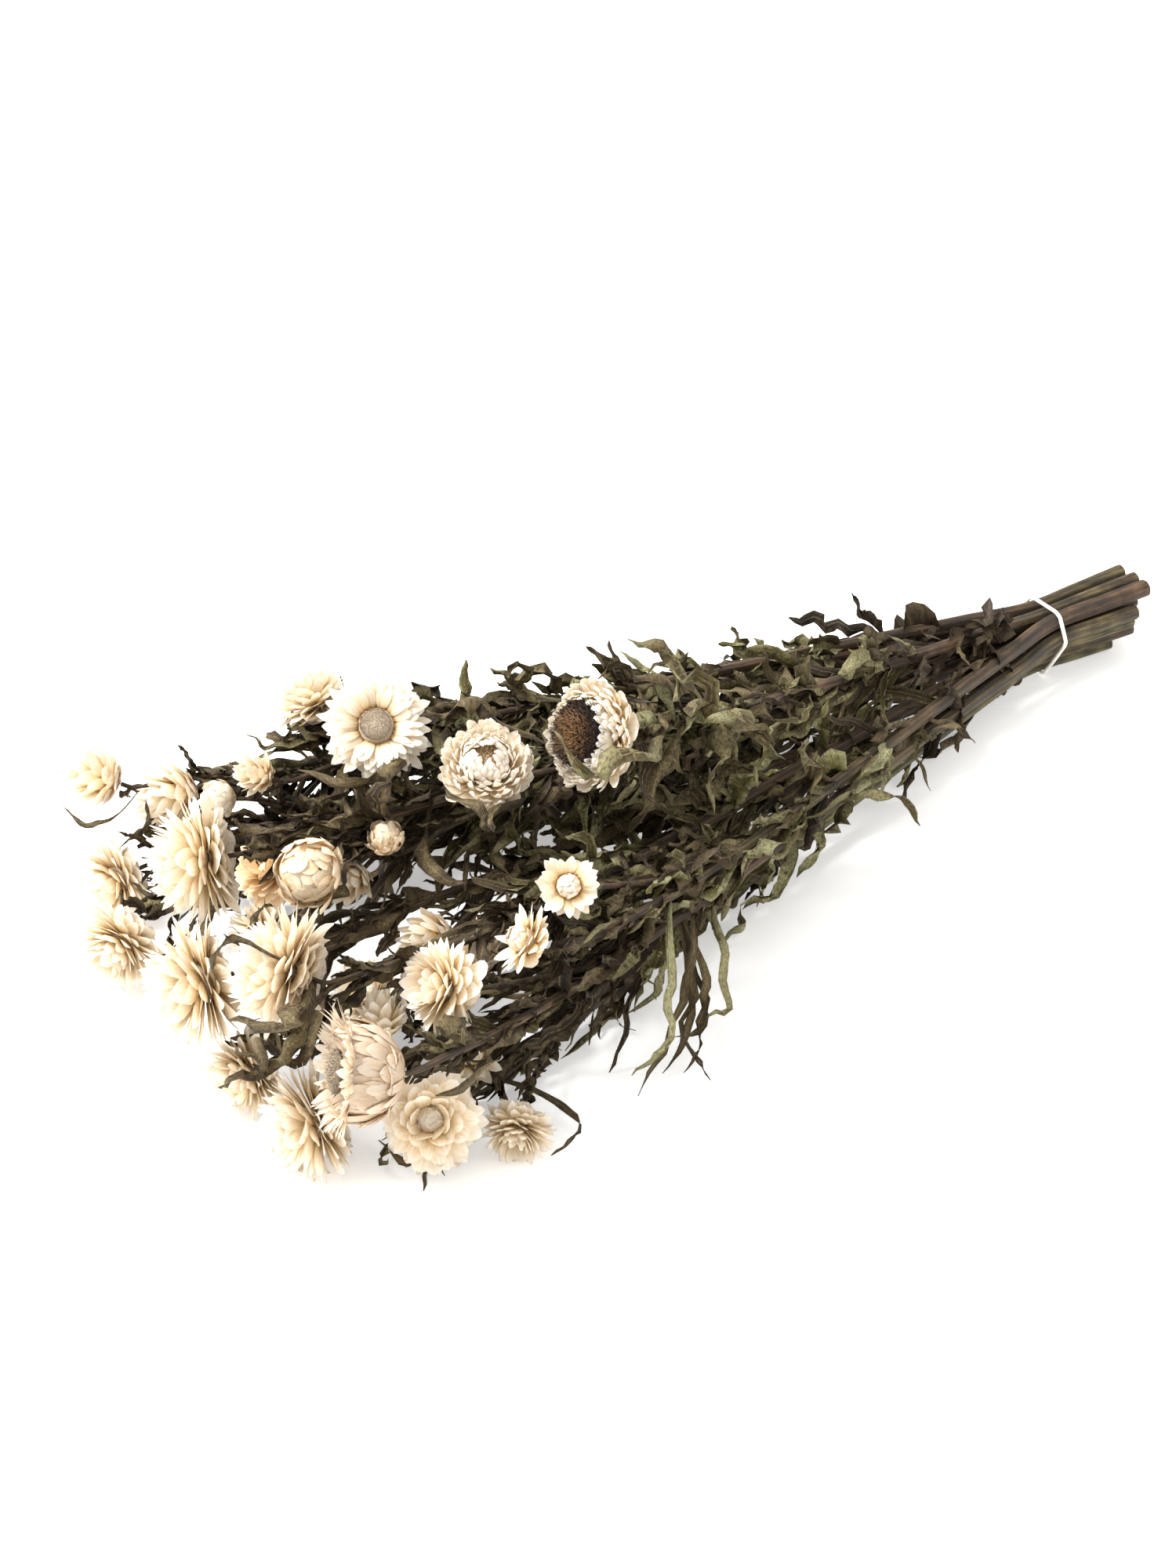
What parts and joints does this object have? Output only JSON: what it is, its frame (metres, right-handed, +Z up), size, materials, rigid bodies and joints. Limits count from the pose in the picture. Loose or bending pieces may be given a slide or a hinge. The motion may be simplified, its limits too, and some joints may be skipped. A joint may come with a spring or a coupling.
{
  "type": "bunch of dried strawflowers",
  "caption": "Bunch of dried strawflowers lying on its side: leafy stems tied near their cut ends by a rubber band, fanning out to papery cream heads.",
  "frame": {"origin": "on the table, under the middle of the lying bunch's box", "axes": "+X along the bunch, from its heads to its cut ends; +Y to the left of someone who looks along +X; +Z up"},
  "size_m": [0.5429, 0.2727, 0.1338],
  "materials": {
    "petal": "matte",
    "disc": "matte",
    "stem_and_leaf": "matte",
    "band": "matte"
  },
  "bodies": {
    "root": {"disc_07": "disc", "disc_08": "disc", "disc_09": "disc", "disc_20": "disc", "head_01": "petal", "head_02": "petal", "head_03": "petal", "head_04": "petal", "head_05": "petal", "head_06": "petal", "head_07": "petal", "head_08": "petal", "head_09": "petal", "head_10": "petal", "head_11": "petal", "head_12": "petal", "head_13": "petal", "head_14": "petal", "head_15": "petal", "head_16": "petal", "head_17": "petal", "head_18": "petal", "head_19": "petal", "head_20": "petal", "head_21": "petal", "head_22": "petal", "head_23": "petal", "head_24": "petal", "head_25": "petal", "head_26": "petal", "head_27": "petal", "head_28": "petal", "head_29": "petal", "head_30": "petal", "head_31": "petal", "rubber_band": "band", "stem_01": "stem_and_leaf", "stem_02": "stem_and_leaf", "stem_03": "stem_and_leaf", "stem_04": "stem_and_leaf", "stem_05": "stem_and_leaf", "stem_06": "stem_and_leaf", "stem_07": "stem_and_leaf", "stem_08": "stem_and_leaf", "stem_09": "stem_and_leaf", "stem_10": "stem_and_leaf", "stem_11": "stem_and_leaf", "stem_12": "stem_and_leaf", "stem_13": "stem_and_leaf", "stem_14": "stem_and_leaf", "stem_15": "stem_and_leaf"}
  },
  "joints": []
}
